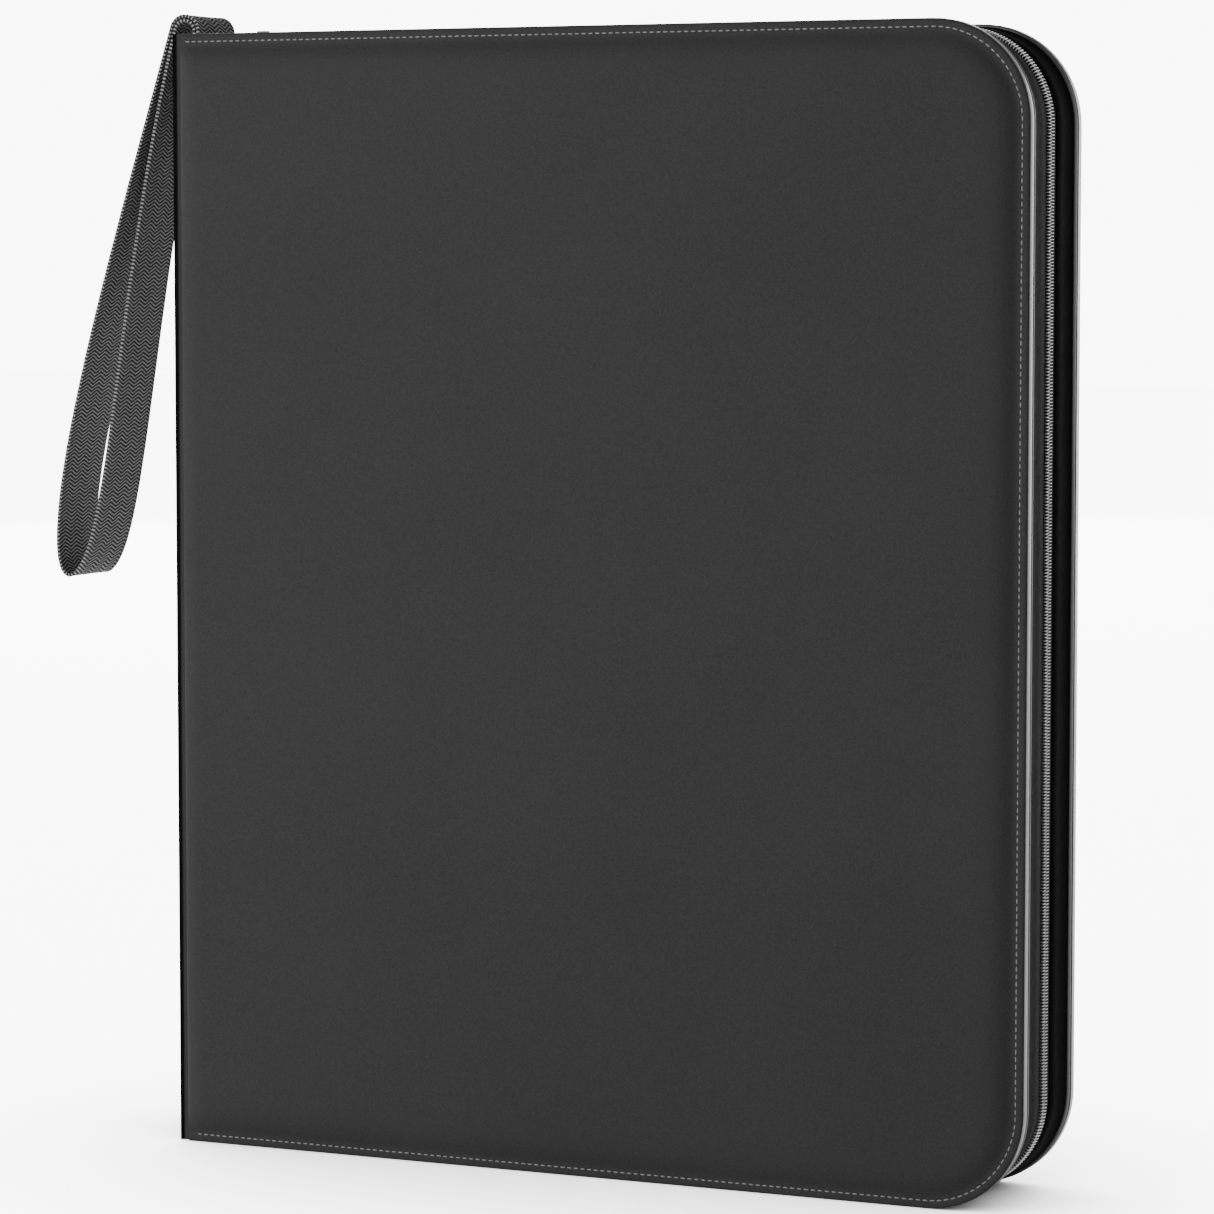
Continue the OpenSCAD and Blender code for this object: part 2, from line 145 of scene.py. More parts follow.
def wire(shader, **sockets):
    for socket, value in sockets.items():
        value.tree.links.new(value.socket, shader.inputs[socket.replace("_", " ")])


def raise_by(shader, height, distance, strength=1.0):
    """Feeds a height, 0 to 1, into the surface as relief this many millimetres high."""
    relief = {"Height": height, "Distance": distance * MM, "Strength": strength}
    wire(shader, Normal=height.node("ShaderNodeBump", {}, relief))


def grey(value):
    """A neutral colour from a screen grey, 0 to 255."""
    linear = ((value / 255 + 0.055) / 1.055) ** 2.4
    return (linear, linear, linear, 1)


def dress(piece, material):
    piece.data.materials.clear()
    piece.data.materials.append(material)


board_finish, shader, place = finish("pressed_board", Roughness=0.85)
core_black, core_grey = (0.018, 0.018, 0.018, 1), (0.036, 0.035, 0.034, 1)
wire(shader, Base_Color=place.noise(1.5, 4).between(core_black, core_grey))
raise_by(shader, place.noise(0.5, 3), 0.05)
for side in ("front", "rear"):
    dress(frame["nodes"][side + "_board"], board_finish)


# ---------------------------------------------------------------------------------------------
# Padded covers. Each is one piece of matt grained leather over foam and board: it is turned in
# round the edge, pressed flat into a sewn lip on three sides, and swells up to a flat panel. At
# the spine it rolls over into the hinge.

out_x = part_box("front_skin")[1].x
cover_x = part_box("front_skin")[0].x
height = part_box("front_skin")[1].z
lining_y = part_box("front_lining")[1].y
lip_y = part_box("front_hinge")[0].y
corner_r = 28.6 * MM
skin_t = 0.9 * MM


def tidy_start(add, **size):
    """Adds a primitive with nothing else selected and returns it, in edit mode."""
    if bpy.context.object and bpy.context.object.mode == "EDIT":
        bpy.ops.object.mode_set(mode="OBJECT")
    bpy.ops.object.select_all(action="DESELECT")
    add(**size)
    bpy.ops.object.mode_set(mode="EDIT")
    return bpy.context.object


def pick(piece, kind, test):
    """Selects, in edit mode, the vertices, edges or faces whose middle passes the test."""
    bpy.ops.mesh.select_all(action="DESELECT")
    bpy.ops.mesh.select_mode(type={"vertices": "VERT", "edges": "EDGE", "polygons": "FACE"}[kind])
    bpy.ops.object.mode_set(mode="OBJECT")
    points = piece.data.vertices
    for item in getattr(piece.data, kind):
        if kind == "vertices":
            middle = item.co
        elif kind == "edges":
            middle = (points[item.vertices[0]].co + points[item.vertices[1]].co) / 2
        else:
            middle = item.center
        item.select = test(middle)
    bpy.ops.object.mode_set(mode="EDIT")


def settle(piece, name, material, smooth=35):
    """Leaves edit mode, puts the piece's place into its mesh, and gives it name and finish."""
    bpy.ops.object.mode_set(mode="OBJECT")
    bpy.ops.object.transform_apply(location=True, rotation=True, scale=True)
    bpy.ops.object.shade_smooth_by_angle(angle=math.radians(smooth))
    piece.name = name
    dress(piece, material)
    return piece


def apply_modifier(piece, kind, **settings):
    bpy.ops.object.select_all(action="DESELECT")
    piece.select_set(True)
    bpy.context.view_layer.objects.active = piece
    made = piece.modifiers.new(kind.lower(), kind)
    for name, value in settings.items():
        setattr(made, name, value)
    bpy.ops.object.modifier_apply(modifier=made.name)


def mirrored(piece, name):
    """The rear case's copy of a front piece, with its own mesh, faces outwards."""
    copy = piece.copy()
    copy.data = piece.data.copy()
    bpy.context.collection.objects.link(copy)
    copy.name = name
    copy.data.transform(Matrix.Scale(-1, 4, (0, 1, 0)))
    copy.data.flip_normals()
    return copy


leather, shader, place = finish("charcoal_leather", Roughness=0.62, Specular_IOR_Level=0.06)
pebble = place.cells(0.55, "SMOOTH_F1")
pores = place.noise(0.22, 3)
tone = place.noise(60, 3) * 0.2 + place.noise(0.45, 4) * 0.8
wire(shader, Base_Color=tone.between(grey(30), grey(68)),
     Roughness=(pores * 0.5 + place.noise(4, 3) * 0.5).between(0.52, 0.74))
raise_by(shader, pebble * 0.6 + pores * 0.4, 0.07, 0.8)

# The turned edge's faces get a lighter grey than the leather beside them: a painted highlight along
# the edge, with the gloss catching the edge light.
edge_highlight_paint, shader, place = finish("edge_painted_highlight", Roughness=0.3, Coat_Roughness=0.2)
rub = place.noise(0.6, 3)
wire(shader, Base_Color=place.noise(1.5, 3).between(grey(80), grey(104)),
     Roughness=rub.between(0.25, 0.42), Coat_Weight=rub.between(0.3, 0.6))
raise_by(shader, rub, 0.02)

edge_from, edge_to = 0.3 * MM, 2.9 * MM
# The turned edge, the lip, the dip behind the stitches and the swell: how far in, how far out
swell = [(0.12, 0.32), (0.22, 0.2), (0.3, 0.1), (0.5, 0.03), (1.0, -0.03), (0.35, -0.09),
         (0.35, 0.07), (0.4, 0.0), (0.5, 0.09), (0.6, 0.2), (0.8, 0.36), (1.0, 0.44), (1.2, 0.4),
         (1.4, 0.3), (1.6, 0.19), (1.8, 0.1), (2.4, 0.05), (3.0, 0.02)]


def padded_cover():
    past_spine = 40 * MM
    bare = 0.65 * MM
    width = out_x + past_spine
    cover = tidy_start(bpy.ops.mesh.primitive_plane_add, size=1, rotation=(math.pi / 2, 0, 0))
    bpy.ops.mesh.select_all(action="SELECT")
    bpy.ops.object.mode_set(mode="OBJECT")
    cover.scale = (width, height, 1)
    cover.location = ((out_x - past_spine) / 2, lining_y, height / 2)
    bpy.ops.object.transform_apply(location=True, rotation=True, scale=True)
    bpy.ops.object.mode_set(mode="EDIT")
    pick(cover, "vertices", lambda p: p.x > 0)
    bpy.ops.mesh.bevel(offset=corner_r, segments=18, affect="VERTICES")
    pick(cover, "polygons", lambda p: True)
    for part in (0.25, 0.75):
        bpy.ops.mesh.extrude_region_move(
            TRANSFORM_OT_translate={"value": (0, (lip_y - lining_y + bare) * part, 0)})
    for inward, outward in swell:
        bpy.ops.mesh.inset(thickness=inward * MM, depth=outward * MM, use_even_offset=True)
    spine_cuts = [0.05, 0.3, 0.8, 1.6, 2.8, 4.4, 6.5]
    for cut in spine_cuts:
        bpy.ops.mesh.select_all(action="SELECT")
        bpy.ops.mesh.bisect(plane_co=(cover_x + cut * MM, 0, 0), plane_no=(1, 0, 0),
                            clear_inner=cut == spine_cuts[0])
    roll_l = spine_cuts[-1] * MM
    bpy.ops.object.mode_set(mode="OBJECT")
    for point in cover.data.vertices:
        across = (point.co.x - cover_x) / roll_l
        if point.co.y < lip_y and across < 1:
            point.co.y = lip_y + (point.co.y - lip_y) * math.sqrt(1 - (1 - max(across, 0)) ** 2)
    bpy.ops.object.mode_set(mode="EDIT")
    bpy.ops.mesh.select_all(action="SELECT")
    bpy.ops.mesh.select_mode(type="EDGE")
    bpy.ops.mesh.region_to_loop()
    bpy.ops.mesh.edge_face_add()
    bpy.ops.mesh.select_all(action="SELECT")
    bpy.ops.mesh.normals_make_consistent(inside=False)
    settle(cover, "front_cover_leather", leather, 40)
    # The faces on the turned edge take the painted highlight finish.
    cover.data.materials.append(edge_highlight_paint)
    for face in cover.data.polygons:
        depth = face.center.y - lip_y
        on_edge = abs(face.normal.y) < 0.75 and edge_from < depth < edge_to
        face.material_index = int(on_edge and face.center.x > cover_x + 0.5 * MM)
    return cover


front_leather = padded_cover()
rear_leather = mirrored(front_leather, "rear_cover_leather")
for piece, side in ((front_leather, "front"), (rear_leather, "rear")):
    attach(piece, side + "_cover")
    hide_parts(side + "_skin", side + "_pad")


# ---------------------------------------------------------------------------------------------
# Stitches. Pale grey thread sews the lip on three sides of each cover, a fixed distance in from
# the edge, and lies in the groove that its own pull makes.


def round_path(inset, start_x, end_x=None):
    """A flat curve along three sides of the case, and its length: along the top, down the
    fore-edge and back along the foot. It lies in XY, to be stood up once a piece follows it."""
    end_x = start_x if end_x is None else end_x
    r = corner_r - inset
    right = out_x - inset
    top, foot = height - inset, inset
    pull = r * 0.5523
    stops = [((start_x, top), (-1, 0), (1, 0)), ((right - r, top), (-1, 0), (1, 0)),
             ((right, top - r), (0, 1), (0, -1)), ((right, foot + r), (0, 1), (0, -1)),
             ((right - r, foot), (1, 0), (-1, 0)), ((end_x, foot), (1, 0), (-1, 0))]
    path = bpy.data.curves.new("path", "CURVE")
    path.dimensions = "2D"
    path.resolution_u = 48
    line = path.splines.new("BEZIER")
    line.bezier_points.add(len(stops) - 1)
    for point, (spot, back, ahead) in zip(line.bezier_points, stops):
        point.co = (*spot, 0)
        point.handle_left_type = point.handle_right_type = "FREE"
        point.handle_left = (spot[0] + back[0] * pull, spot[1] + back[1] * pull, 0)
        point.handle_right = (spot[0] + ahead[0] * pull, spot[1] + ahead[1] * pull, 0)
    curve = bpy.data.objects.new("path", path)
    bpy.context.collection.objects.link(curve)
    length = (right - r - start_x) + (right - r - end_x) + (top - foot - 2 * r) + math.pi * r
    return curve, length


STAND_UP = Matrix(((1, 0, 0, 0), (0, 0, 1, 0), (0, 1, 0, 0), (0, 0, 0, 1)))


def follow(piece, curve):
    """Bends a piece drawn along X round the path. Its Y becomes the way out of the case, and
    its Z the way from front to rear."""
    apply_modifier(piece, "CURVE", object=curve, deform_axis="POS_X")
    bpy.data.objects.remove(curve)
    piece.data.transform(STAND_UP)
    bpy.ops.object.mode_set(mode="EDIT")
    bpy.ops.mesh.select_all(action="SELECT")
    bpy.ops.mesh.flip_normals()
    bpy.ops.object.mode_set(mode="OBJECT")
    return piece


thread, shader, place = finish("grey_thread", Roughness=0.7)
twist = (place.along("X") + place.along("Z")) * (2 * math.pi / (0.35 * MM))
wire(shader, Base_Color=twist.waves().between(grey(134), grey(164)))
raise_by(shader, twist.waves(), 0.04)

stitch_in = 2.35 * MM
stitch_pitch = 2.1 * MM
stitch_l = 1.5 * MM
curve, run = round_path(stitch_in, cover_x + 1.2 * MM)
stitch = tidy_start(bpy.ops.mesh.primitive_uv_sphere_add, segments=6, ring_count=5, radius=0.5,
                    rotation=(0, math.pi / 2, 0))
bpy.ops.object.mode_set(mode="OBJECT")
stitch.scale = (0.3 * MM, 0.42 * MM, stitch_l)
stitch.location = (stitch_pitch / 2, 0, lip_y + 0.02 * MM)
bpy.ops.object.transform_apply(location=True, rotation=True, scale=True)
apply_modifier(stitch, "ARRAY", count=int(run / stitch_pitch), use_relative_offset=False,
               use_constant_offset=True, constant_offset_displace=(stitch_pitch, 0, 0))
follow(stitch, curve)
front_stitches = settle(stitch, "front_stitches", thread, 60)
rear_stitches = mirrored(front_stitches, "rear_stitches")
for piece, side in ((front_stitches, "front"), (rear_stitches, "rear")):
    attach(piece, side + "_cover")


# ---------------------------------------------------------------------------------------------
# Spine. One strip of the same leather covers the back, is turned in over the board's ends, and
# rolls round both long edges to hinge the covers. Its short end walls close the case.


def eased(node, name, material, width, segments=2, smooth=30):
    """A copy of a CAD piece with its edges rounded, as cast, pressed or turned-in edges are."""
    piece = frame["nodes"][node].copy()
    piece.data = piece.data.copy()
    piece.parent = None
    bpy.context.collection.objects.link(piece)
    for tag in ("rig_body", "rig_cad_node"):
        del piece[tag]
    bpy.ops.object.select_all(action="DESELECT")
    piece.select_set(True)
    bpy.context.view_layer.objects.active = piece
    bpy.ops.object.mode_set(mode="EDIT")
    bpy.ops.mesh.select_all(action="SELECT")
    bpy.ops.mesh.remove_doubles(threshold=0.002 * MM)
    bpy.ops.mesh.dissolve_limited(angle_limit=math.radians(1))
    bpy.ops.object.mode_set(mode="OBJECT")
    apply_modifier(piece, "BEVEL", width=width * MM, segments=segments, limit_method="ANGLE",
                   angle_limit=math.radians(40), use_clamp_overlap=True)
    settle(piece, name, material, smooth)
    apply_modifier(piece, "WEIGHTED_NORMAL", keep_sharp=True, weight=80)
    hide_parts(node)
    return piece


spine_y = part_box("spine_skin")[1].y
roll_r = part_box("front_hinge")[1].x
spine_leather = eased("spine_skin", "spine_leather", leather, 0.3)
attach(spine_leather, "spine")

fold_r = 1.3 * MM
tuck_l, tuck_out = 1.1 * MM, 0.12 * MM
roll = tidy_start(bpy.ops.mesh.primitive_plane_add, size=1, rotation=(math.pi / 2, 0, 0))
bpy.ops.object.mode_set(mode="OBJECT")
roll.scale = (skin_t, height, 1)
roll.location = (skin_t / 2, -spine_y, height / 2)
bpy.ops.object.transform_apply(location=True, rotation=True, scale=True)
bpy.ops.object.mode_set(mode="EDIT")
bpy.ops.mesh.select_all(action="SELECT")
for step in range(4):
    bpy.ops.mesh.extrude_region_move(
        TRANSFORM_OT_translate={"value": (0, (fold_r - roll_r) / 4, 0)})
bpy.ops.mesh.spin(steps=10, angle=math.pi / 2, center=(fold_r, fold_r - roll_r - spine_y, 0),
                  axis=(0, 0, 1))
for step in range(4):
    bpy.ops.mesh.extrude_region_move(
        TRANSFORM_OT_translate={"value": ((roll_r - fold_r) / 4, 0, 0)})
bpy.ops.mesh.extrude_region_move(TRANSFORM_OT_translate={"value": (tuck_l, tuck_out, 0)})
bpy.ops.mesh.select_all(action="SELECT")
bpy.ops.mesh.remove_doubles(threshold=0.001 * MM)
bpy.ops.mesh.normals_make_consistent(inside=False)
front_roll = settle(roll, "front_hinge_leather", leather, 60)
rear_roll = mirrored(front_roll, "rear_hinge_leather")
for piece, side, way in ((front_roll, "front", -1), (rear_roll, "rear", 1)):
    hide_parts(side + "_hinge")
    side + "_cover"
    way * (spine_y + 0.1 * MM)
    way * abs(lip_y)
    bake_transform(piece)

dress(frame["nodes"]["spine_board"], leather)
for end in ("top", "foot"):
    wall = eased("spine_end_wall_" + end, "spine_end_leather_" + end, leather, 0.35)
    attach(wall, "spine")


# ---------------------------------------------------------------------------------------------
# Side walls. A strip of softer leather cloth runs round three sides of each half, sewn to the
# cover through grey piping. It is unlined, so it waves a little between its seams.


def strip(name, length, near, far, steps, rows, sag, thick, material):
    """A long band drawn along X, from near to far in Z, with a UV map in metres."""
    band = tidy_start(bpy.ops.mesh.primitive_grid_add, x_subdivisions=steps, y_subdivisions=rows,
                      size=1, rotation=(math.pi / 2, 0, 0))
    bpy.ops.object.mode_set(mode="OBJECT")
    band.scale = (length, abs(far - near), 1)
    band.location = (length / 2, 0, (near + far) / 2)
    bpy.ops.object.transform_apply(location=True, rotation=True, scale=True)
    for point in band.data.vertices:
        across = (point.co.z - near) / (far - near)
        point.co.y = sag(point.co.x, across)
    for corner in band.data.uv_layers.active.data:
        corner.uv = (corner.uv[0] * length, corner.uv[1] * abs(far - near))
    apply_modifier(band, "SOLIDIFY", thickness=thick, offset=0)
    band.name = name
    return band


def bend_round(band, curve, name, material, smooth):
    """Bends a band round the path, turns its faces outwards, and names and dresses it."""
    follow(band, curve)
    bpy.ops.object.mode_set(mode="EDIT")
    bpy.ops.mesh.select_all(action="SELECT")
    bpy.ops.mesh.normals_make_consistent(inside=False)
    return settle(band, name, material, smooth)


def wall_finish(name, low, high, shine):
    made, shader, place = finish(name, Roughness=0.75, Specular_IOR_Level=shine)
    weave = place.noise(0.3, 3) * 0.6 + place.cells(0.45) * 0.4
    wire(shader, Base_Color=(place.noise(20, 3) * 0.35 + weave * 1.3 - 0.3).between(low, high),
         Roughness=place.noise(2, 2).between(0.6, 0.8))
    raise_by(shader, weave, 0.14)
    return made


# The rear wall's cloth is a darker, duller copy of the front's: painted shade for the half that
# faces away from the light.
front_cloth = wall_finish("front_wall_cloth", grey(8), grey(26), 0.03)
rear_cloth_painted_shade = wall_finish("rear_wall_cloth_painted_shade", grey(4), grey(18), 0.01)

wall_low, wall_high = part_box("front_side_wall")
wall_in = out_x - wall_high.x
tape_low, tape_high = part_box("front_zip_tape")
tape_in = out_x - tape_high.x
wall_t = tape_in - wall_in


def wall_sag(along, across):
    high = 0.6 * MM * (1 - min(across / 0.62, 1)) ** 1.3 - 0.5 * MM * max(across - 0.88, 0) / 0.12
    slack = 0.16 * MM * math.sin(math.pi * min(across / 0.7, 1))
    wave = math.sin(along * 190) * math.sin(along * 71 + 1) * math.sin(math.pi * across)
    return high - slack + 0.07 * MM * wave


curve, run = round_path(wall_in + wall_t / 2, wall_low.x)
welt_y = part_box("front_piping")[1].y
wall = strip("wall", run, welt_y, wall_high.y - 0.3 * MM, 420, 12, wall_sag, 0.8 * MM,
             front_cloth)
front_wall = bend_round(wall, curve, "front_side_wall_leather", front_cloth, 50)
rear_wall = mirrored(front_wall, "rear_side_wall_leather")
# The rear wall takes the painted shade copy of the cloth.
dress(rear_wall, rear_cloth_painted_shade)
for piece, side in ((front_wall, "front"), (rear_wall, "rear")):
    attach(piece, side + "_cover")
    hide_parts(side + "_side_wall")

piping_finish, shader, place = finish("grey_piping", Roughness=0.35, Specular_IOR_Level=0.6)
wire(shader, Base_Color=place.noise(3, 3).between(grey(58), grey(76)),
     Roughness=place.noise(1.2, 2).between(0.28, 0.45))
raise_by(shader, place.noise(0.4, 2), 0.04)
for side in ("front", "rear"):
    dress(frame["nodes"][side + "_piping"], piping_finish)


# ---------------------------------------------------------------------------------------------
# Zip. Two woven tapes are sewn inside the side walls, and a row of silver teeth is moulded on the
# edge of each. The rows mesh tooth between tooth, and metal stops end them at the spine.

tape_cloth, shader, place = finish("zip_tape_cloth", Roughness=0.8, Specular_IOR_Level=0.2)
flat = place.node("ShaderNodeTexCoord", out=2)
rib = (flat.along("Y") * (2 * math.pi / (0.7 * MM))).waves()
thread_row = (flat.along("X") * (2 * math.pi / (0.5 * MM))).waves()
wire(shader, Base_Color=(rib * 0.25 + thread_row * 0.25 + 0.5).between(grey(10), grey(24)),
     Roughness=place.noise(1, 2).between(0.7, 0.9))
raise_by(shader, rib * 0.5 + thread_row * 0.5, 0.06)

tape_t = 0.6 * MM
chain_mid = tape_in + tape_t / 2
curve, run = round_path(chain_mid, tape_low.x)
tape = strip("tape", run, tape_low.y, tape_high.y + 0.6 * MM, 380, 6, lambda along, across: 0,
             tape_t, tape_cloth)
front_tape = bend_round(tape, curve, "front_tape_cloth", tape_cloth, 50)
rear_tape = mirrored(front_tape, "rear_tape_cloth")
for piece, side in ((front_tape, "front"), (rear_tape, "rear")):
    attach(piece, side + "_cover")
    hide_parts(side + "_zip_tape")

silver, shader, place = finish("silver_teeth", Metallic=1.0)
wear = place.noise(1.5, 3)
wire(shader, Base_Color=wear.between((0.26, 0.26, 0.27, 1), (0.42, 0.42, 0.43, 1)),
     Roughness=wear.between(0.26, 0.42))
raise_by(shader, place.noise(0.3, 2), 0.02)

tooth_pitch = 0.9 * MM
tooth_w, tooth_t = 0.38 * MM, 1.9 * MM
tooth_past_middle = 0.45 * MM
tooth_l = abs(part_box("front_zip_teeth")[0].y) - 0.3 * MM
tooth_out = 0.3 * MM
teeth_foot_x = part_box("front_zip_teeth")[0].x
teeth_top_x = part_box("zip_slider")[1].x + 1 * MM


def tooth_row(name, offset):
    curve, run = round_path(chain_mid, teeth_top_x, teeth_foot_x)
    tooth = tidy_start(bpy.ops.mesh.primitive_cube_add, size=1)
    pick(tooth, "vertices", lambda p: p.z > 0)
    bpy.ops.transform.resize(value=(0.62, 0.82, 1))
    bpy.ops.mesh.select_all(action="SELECT")
    bpy.ops.object.mode_set(mode="OBJECT")
    tooth.scale = (tooth_w, tooth_t, tooth_l)
    tooth.location = (tooth_pitch / 4 + offset, tooth_out, tooth_past_middle - tooth_l / 2)
    bpy.ops.object.transform_apply(location=True, rotation=True, scale=True)
    apply_modifier(tooth, "BEVEL", width=0.13 * MM, segments=1)
    apply_modifier(tooth, "ARRAY", count=int(run / tooth_pitch) - 1, use_relative_offset=False,
                   use_constant_offset=True, constant_offset_displace=(tooth_pitch, 0, 0))
    follow(tooth, curve)
    return settle(tooth, name, silver, 40)


front_teeth = tooth_row("front_teeth", 0)
drawn_in_front = tooth_row("rear_teeth_drawn", tooth_pitch / 2)
rear_teeth = mirrored(drawn_in_front, "rear_teeth")
bpy.data.objects.remove(drawn_in_front)
for piece, side in ((front_teeth, "front"), (rear_teeth, "rear")):
    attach(piece, side + "_cover")
    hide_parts(side + "_zip_teeth")
for end in ("top", "foot"):
    stop = eased("zip_stop_" + end, "stop_" + end, silver, 0.3)
    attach(stop, "spine")

slate, shader, place = finish("slate_paint", Specular_IOR_Level=0.3, Coat_Weight=0.2,
                              Coat_Roughness=0.3)
slate_dark, slate_pale = (0.014, 0.019, 0.026, 1), (0.030, 0.037, 0.047, 1)
wire(shader, Base_Color=place.noise(2, 3).between(slate_dark, slate_pale),
     Roughness=place.noise(0.8, 3).between(0.35, 0.55))
raise_by(shader, place.noise(0.5, 2), 0.02)
slider = eased("zip_slider", "slider_body", slate, 0.22, 2)
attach(slider, "slider")
pull = eased("zip_pull", "pull_tab", slate, 0.25, 2)
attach(pull, "pull")


# ---------------------------------------------------------------------------------------------
# Linings. Black woven cloth is glued over the inside of the boards and of the spine.

lining_cloth, shader, place = finish("black_lining", Roughness=0.88, Specular_IOR_Level=0.2)
warp = (place.along("Z") * (2 * math.pi / (0.62 * MM))).waves()
weft = ((place.along("X") + place.along("Y")) * (2 * math.pi / (0.62 * MM))).waves()
wire(shader, Base_Color=(warp * weft * 0.3 + place.noise(30, 3) * 0.6 + 0.2).between(
    grey(14), grey(34)), Roughness=place.noise(1, 2).between(0.8, 0.95))
raise_by(shader, warp * weft * 0.5 + 0.5, 0.06)
for side in ("front", "rear"):
    lining = eased(side + "_lining", side + "_lining_cloth", lining_cloth, 0.25)
    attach(lining, side + "_cover")
lining = eased("spine_lining", "spine_lining_cloth", lining_cloth, 0.2)
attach(lining, "spine")


# ---------------------------------------------------------------------------------------------
# Ring mechanism. A pressed dark plate holds two blades that carry the half rings. The wires are
# nickel plated, and two domed rivets hold the plate to the spine.

plate_paint, shader, place = finish("dark_plate", Coat_Weight=0.3, Coat_Roughness=0.25)
wire(shader, Base_Color=place.noise(4, 3).between(grey(52), grey(66)),
     Roughness=place.noise(0.8, 3).between(0.32, 0.5))
raise_by(shader, place.noise(0.35, 3), 0.03)
plate = eased("ring_cover_plate", "mechanism_plate", plate_paint, 0.3)
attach(plate, "spine")
nickel, shader, place = finish("nickel_plate", Metallic=1.0)
wire(shader, Base_Color=place.noise(3, 2).between((0.42, 0.42, 0.43, 1), (0.52, 0.52, 0.53, 1)),
     Roughness=place.noise(0.7, 3).between(0.12, 0.28))
raise_by(shader, place.noise(0.5, 2), 0.01)
for side in ("front", "rear"):
    dress(frame["nodes"][side + "_half_rings"], nickel)
    blade = eased(side + "_blade", side + "_blade_steel", nickel, 0.2)
    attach(blade, side + "_rings")
domes, shader, place = finish("tumbled_steel", Metallic=1.0)
wire(shader, Base_Color=place.noise(2, 3).between((0.16, 0.16, 0.17, 1), (0.26, 0.26, 0.27, 1)),
     Roughness=place.noise(0.6, 3).between(0.3, 0.5))
raise_by(shader, place.noise(0.5, 3), 0.05)
dress(frame["nodes"]["ring_rivets"], domes)


# ---------------------------------------------------------------------------------------------
# Wrist strap. One length of herringbone webbing is folded in two. Both ends are sewn into the top
# of the spine, and the fold rolls over the spine's edge and hangs outside as a long narrow loop.

strap_low, strap_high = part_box("strap_loop")
root_low, root_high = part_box("strap_root")
strap_w = strap_high.y - strap_low.y
strap_t = 1.15 * MM
layer_step = 1.3 * MM
root_x = (root_low.x + root_high.x) / 2
roll_centre = Vector((-1.7 * MM, height + 1.3 * MM))
turn_out = Vector((-46.9 * MM, strap_low.z + 11.4 * MM))
turn_in = Vector((-36.3 * MM, strap_low.z + 9.4 * MM))
leave = math.radians(165)


def strap_path():
    outer_r = root_x + layer_step / 2 - roll_centre.x
    inner_r = root_x - layer_step / 2 - roll_centre.x
    arc = leave / 2
    pull = 4 / 3 * math.tan(arc / 4)

    def on_roll(radius, angle):
        return roll_centre + radius * Vector((math.cos(angle), math.sin(angle)))

    def tangent(angle):
        return Vector((-math.sin(angle), math.cos(angle)))

    up = Vector((0, 1))
    stops = [(Vector((root_x + layer_step / 2, root_low.z)), -up * MM, up * 4 * MM)]
    for angle in (0, arc, leave):
        reach = tangent(angle) * pull * outer_r
        ahead = reach if angle < leave else Vector((-0.302, -0.953)) * 60 * MM
        stops.append((on_roll(outer_r, angle), -reach, ahead))
    stops.append((turn_out, up * 30 * MM, -up * 13.5 * MM))
    stops.append((turn_in, Vector((-4.5, -11.5)) * MM, Vector((0.36, 0.93)) * 25 * MM))
    for angle in (leave, arc, 0):
        reach = tangent(angle) * pull * inner_r
        back = reach if angle < leave else Vector((-0.259, -0.966)) * 70 * MM
        stops.append((on_roll(inner_r, angle), back, -reach))
    stops.append((Vector((root_x - layer_step / 2, root_low.z)), up * 4 * MM, -up * MM))
    path = bpy.data.curves.new("path", "CURVE")
    path.dimensions = "2D"
    path.resolution_u = 40
    line = path.splines.new("BEZIER")
    line.bezier_points.add(len(stops) - 1)
    for point, (spot, back, ahead) in zip(line.bezier_points, stops):
        point.handle_left_type = point.handle_right_type = "FREE"
        point.co = (*spot, 0)
        point.handle_left = (*(spot + back), 0)
        point.handle_right = (*(spot + ahead), 0)
    made = bpy.data.objects.new("path", path)
    bpy.context.collection.objects.link(made)
    return made, line.calc_length()


webbing, shader, place = finish("herringbone_webbing", Roughness=0.7, Specular_IOR_Level=0.3)
flat = place.node("ShaderNodeTexCoord", out=2)
column = flat.along("Y") / (6.6 * MM)
zigzag = (column - column.sum("FLOOR", column)).sum("PINGPONG", column, 0.5)
lean = flat.along("X") + zigzag * (3 * MM) + (flat.noise(3, 2) - 0.5) * (0.6 * MM)
yarn = (lean * (2 * math.pi / (1.15 * MM))).waves() * 0.5 + 0.5
# The yarn stripes run from dark grooves to pale crowns: the herringbone pattern, with painted shade
# in the grooves and painted highlight on the crowns.
lit = yarn * yarn * (flat.noise(0.45, 3).between(0.55, 1.25))
wire(shader, Base_Color=lit.between(grey(16), grey(186)), Roughness=lit.between(0.85, 0.55))
raise_by(shader, yarn, 0.3)

curve, strap_l = strap_path()
strap = strip("strap", strap_l, -strap_w / 2, strap_w / 2, 420, 16,
              lambda along, across: 0.12 * MM * (1 - (2 * across - 1) ** 8), strap_t * 0.8, webbing)
strap = bend_round(strap, curve, "wrist_strap", webbing, 60)
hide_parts("strap_loop", "strap_root")
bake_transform(strap)


# ---------------------------------------------------------------------------------------------
# Pocket sheets and cards. Each sheet is clear film welded along pale ribs into nine pockets and
# onto a punched binding strip. Two cards stand back to back in every pocket.

ribs, shader, place = finish("welded_film", Roughness=0.35, Alpha=0.9)
wire(shader, Base_Color=place.noise(5, 2).between(grey(232), grey(244)),
     Roughness=place.noise(1, 2).between(0.3, 0.5))
raise_by(shader, place.noise(0.5, 2), 0.03)
film, shader, place = finish("clear_film", Roughness=0.12, Specular_IOR_Level=0.6)
wire(shader, Base_Color=place.noise(20, 2).between(grey(225), grey(240)),
     Alpha=place.noise(9, 2).between(0.02, 0.08))
raise_by(shader, place.noise(8, 2), 0.3)


